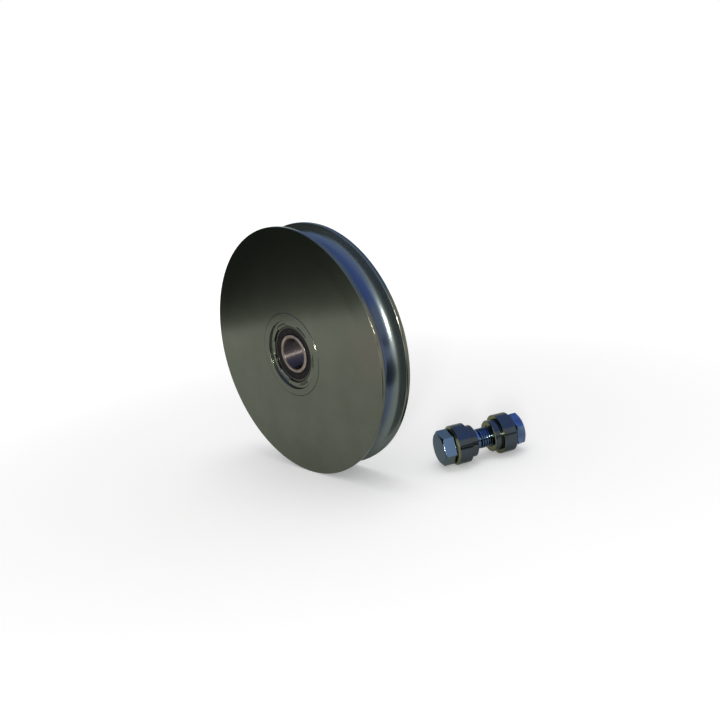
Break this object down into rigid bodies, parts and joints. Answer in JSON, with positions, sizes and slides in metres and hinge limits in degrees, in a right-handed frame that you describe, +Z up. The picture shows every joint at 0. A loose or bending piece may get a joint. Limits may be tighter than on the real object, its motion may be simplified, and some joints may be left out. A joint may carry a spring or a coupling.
{
  "type": "sliding gate wheel",
  "caption": "Turned steel sliding gate wheel with a round rail groove, sealed ball bearings staked in the hub, and a loose bolt axle with stepped bushes and a thin nut.",
  "frame": {"origin": "centre of the wheel, on the axis of its bearings' bore, half way across the rim", "axes": "+Y along the wheel's axis from the front face to the back, +Z up, +X to the right of the front face; the wheel stands on its rim"},
  "size_m": [0.2344, 0.1229, 0.2],
  "materials": {
    "zinc_steel": "bright zinc plated turned steel",
    "bearing_steel": "ground bearing steel",
    "seal_rubber": "matt black rubber",
    "cage_polymer": "moulded plastic",
    "passivated_steel": "zinc plated, blue passivated with yellow tints",
    "zinc_fastener": "zinc plated"
  },
  "bodies": {
    "axle_side": {"bearing_front_inner_ring": "bearing_steel", "bearing_rear_inner_ring": "bearing_steel", "axle_bolt": "zinc_fastener"},
    "wheel": {"wheel_body": "zinc_steel", "bearing_front_outer_ring": "bearing_steel", "bearing_rear_outer_ring": "bearing_steel", "bearing_front_outer_seal": "seal_rubber", "bearing_front_inner_seal": "seal_rubber", "bearing_rear_outer_seal": "seal_rubber", "bearing_rear_inner_seal": "seal_rubber"},
    "cage_front": {"bearing_front_cage": "cage_polymer", "bearing_front_ball_01": "bearing_steel", "bearing_front_ball_02": "bearing_steel", "bearing_front_ball_03": "bearing_steel", "bearing_front_ball_04": "bearing_steel", "bearing_front_ball_05": "bearing_steel", "bearing_front_ball_06": "bearing_steel", "bearing_front_ball_07": "bearing_steel", "bearing_front_ball_08": "bearing_steel", "bearing_front_ball_09": "bearing_steel", "bearing_front_ball_10": "bearing_steel"},
    "cage_rear": {"bearing_rear_cage": "cage_polymer", "bearing_rear_ball_01": "bearing_steel", "bearing_rear_ball_02": "bearing_steel", "bearing_rear_ball_03": "bearing_steel", "bearing_rear_ball_04": "bearing_steel", "bearing_rear_ball_05": "bearing_steel", "bearing_rear_ball_06": "bearing_steel", "bearing_rear_ball_07": "bearing_steel", "bearing_rear_ball_08": "bearing_steel", "bearing_rear_ball_09": "bearing_steel", "bearing_rear_ball_10": "bearing_steel"},
    "near_bush": {"near_bush": "passivated_steel"},
    "far_bush": {"far_bush": "passivated_steel"},
    "nut": {"axle_nut": "zinc_fastener"}
  },
  "joints": [
    {"name": "wheel_spin", "type": "hinge", "parent": "axle_side", "child": "wheel", "pos_m": [0, 0, 0], "axis": [0, 1, 0], "continuous": true},
    {"name": "cage_front_spin", "type": "hinge", "parent": "axle_side", "child": "cage_front", "pos_m": [0, -0.006, 0], "axis": [0, 1, 0], "continuous": true},
    {"name": "cage_rear_spin", "type": "hinge", "parent": "axle_side", "child": "cage_rear", "pos_m": [0, 0.006, 0], "axis": [0, 1, 0], "continuous": true},
    {"name": "near_bush_spin", "type": "hinge", "parent": "axle_side", "child": "near_bush", "pos_m": [0.10125, 0.05833, -0.0845], "axis": [-0.454, -0.891, 0], "continuous": true},
    {"name": "far_bush_slide", "type": "slide", "parent": "axle_side", "child": "far_bush", "axis": [-0.454, -0.891, 0], "range_m": [0, 0.013]},
    {"name": "nut_turn", "type": "hinge", "parent": "far_bush", "child": "nut", "pos_m": [0.12206, 0.09918, -0.0845], "axis": [-0.454, -0.891, 0], "range_deg": [0, 2340]}
  ],
  "couplings": [
    {"joint": "cage_front_spin", "follows": "wheel_spin", "ratio": 0.58819},
    {"joint": "cage_rear_spin", "follows": "wheel_spin", "ratio": 0.58819},
    {"joint": "nut_turn", "follows": "far_bush_slide", "rad_per_m": 3141.6}
  ]
}
